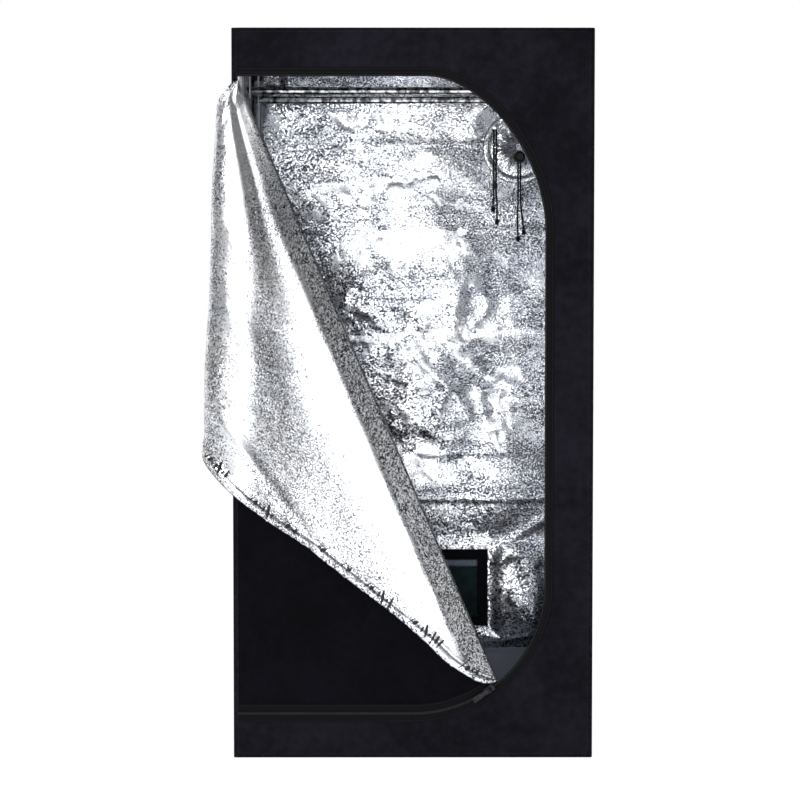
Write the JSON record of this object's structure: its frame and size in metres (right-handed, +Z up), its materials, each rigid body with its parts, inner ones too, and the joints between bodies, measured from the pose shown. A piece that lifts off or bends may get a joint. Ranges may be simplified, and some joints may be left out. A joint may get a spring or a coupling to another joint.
{
  "type": "indoor grow tent",
  "caption": "Indoor grow tent: a foil-lined cloth cover over a pole frame, with a zipped D-shaped door folded aside, hanging bars, duct port, vent and floor tray.",
  "frame": {"origin": "centre of the tent's footprint, on the underside of the floor panel", "axes": "+X to the right seen from the front, +Y from the door to the back wall, +Z up"},
  "size_m": [0.6494, 0.6723, 1.22],
  "materials": {
    "oxford_cloth": "matte",
    "foil_cloth": "satin",
    "webbing": "matte",
    "pole_steel": "satin",
    "dark_zinc": "satin",
    "corner_plastic": "matte",
    "lock_plastic": "gloss",
    "spring_steel": "satin",
    "drawcord": "matte",
    "net": "matte",
    "tray_film": "satin"
  },
  "bodies": {
    "tent": {"front_panel": "oxford_cloth", "left_wall": "oxford_cloth", "right_wall": "oxford_cloth", "back_wall": "oxford_cloth", "roof_panel": "oxford_cloth", "floor_panel": "oxford_cloth", "door_panel": "oxford_cloth", "opening_zip": "webbing", "closed_zip": "webbing", "front_left_lower_upright": "pole_steel", "front_left_upper_upright": "pole_steel", "front_right_lower_upright": "pole_steel", "front_right_upper_upright": "pole_steel", "rear_left_lower_upright": "pole_steel", "rear_left_upper_upright": "pole_steel", "rear_right_lower_upright": "pole_steel", "rear_right_upper_upright": "pole_steel", "bottom_front_pole": "pole_steel", "bottom_rear_pole": "pole_steel", "bottom_left_pole": "pole_steel", "bottom_right_pole": "pole_steel", "top_front_pole": "pole_steel", "top_rear_pole": "pole_steel", "top_left_pole": "pole_steel", "top_right_pole": "pole_steel", "bottom_front_left_corner": "corner_plastic", "bottom_front_right_corner": "corner_plastic", "bottom_rear_left_corner": "corner_plastic", "bottom_rear_right_corner": "corner_plastic", "top_front_left_corner": "corner_plastic", "top_front_right_corner": "corner_plastic", "top_rear_left_corner": "corner_plastic", "top_rear_right_corner": "corner_plastic", "duct_sleeve": "foil_cloth", "lock_string_left": "drawcord", "lock_string_right": "drawcord", "rim_string_left": "drawcord", "rim_string_right": "drawcord", "lock_string_left_knot": "drawcord", "lock_string_right_knot": "drawcord", "rim_string_left_knot": "drawcord", "rim_string_right_knot": "drawcord", "rim_string_bead": "lock_plastic", "vent_frame": "webbing", "vent_net": "net"},
    "folded_door": {"door_flap": "foil_cloth", "door_edge_zip_tape": "webbing"},
    "slider": {"zip_slider": "dark_zinc"},
    "pull": {"zip_pull": "dark_zinc"},
    "front_hanging_bar": {"front_bar": "pole_steel", "front_bar_left_hook": "dark_zinc", "front_bar_right_hook": "dark_zinc"},
    "rear_hanging_bar": {"rear_bar": "pole_steel", "rear_bar_left_hook": "dark_zinc", "rear_bar_right_hook": "dark_zinc"},
    "cord_lock": {"cord_lock_body": "lock_plastic", "cord_lock_spring": "spring_steel"},
    "lock_button": {"cord_lock_button": "lock_plastic"},
    "vent_cover": {"vent_flap": "oxford_cloth"},
    "tray": {"floor_tray": "tray_film"}
  },
  "joints": [
    {"name": "door_swing", "type": "hinge", "parent": "tent", "child": "folded_door", "pos_m": [-0.30171, -0.3074, 1.14], "axis": [-0.3961, 0, 0.9182], "range_deg": [0, 80]},
    {"name": "zip_travel", "type": "hinge", "parent": "tent", "child": "slider", "pos_m": [0, -0.3027, 0.295], "axis": [0, 1, 0], "range_deg": [0, 33]},
    {"name": "zip_pull_swing", "type": "hinge", "parent": "slider", "child": "pull", "pos_m": [0.1278, -0.3083, 0.1159], "axis": [-0.5807, 0, 0.8141], "range_deg": [0, 150]},
    {"name": "front_bar_slide", "type": "slide", "parent": "tent", "child": "front_hanging_bar", "axis": [0, 1, 0], "range_m": [-0.085, 0.11]},
    {"name": "rear_bar_slide", "type": "slide", "parent": "tent", "child": "rear_hanging_bar", "axis": [0, 1, 0], "range_m": [-0.11, 0.085]},
    {"name": "cord_lock_slide", "type": "slide", "parent": "tent", "child": "cord_lock", "axis": [0, 0, -1], "range_m": [0, 0.055]},
    {"name": "lock_button_press", "type": "slide", "parent": "cord_lock", "child": "lock_button", "axis": [0, 1, 0], "range_m": [0, 0.004], "stiffness_N_per_m": 600, "springref_m": -0.001, "deforming": ["cord_lock_spring"]},
    {"name": "vent_flap_swing", "type": "hinge", "parent": "tent", "child": "vent_cover", "pos_m": [0, 0.302, 0.295], "axis": [1, 0, 0], "range_deg": [0, 160]},
    {"name": "tray_lift", "type": "slide", "parent": "tent", "child": "tray", "axis": [0, 0, 1], "range_m": [0, 0.25]}
  ]
}
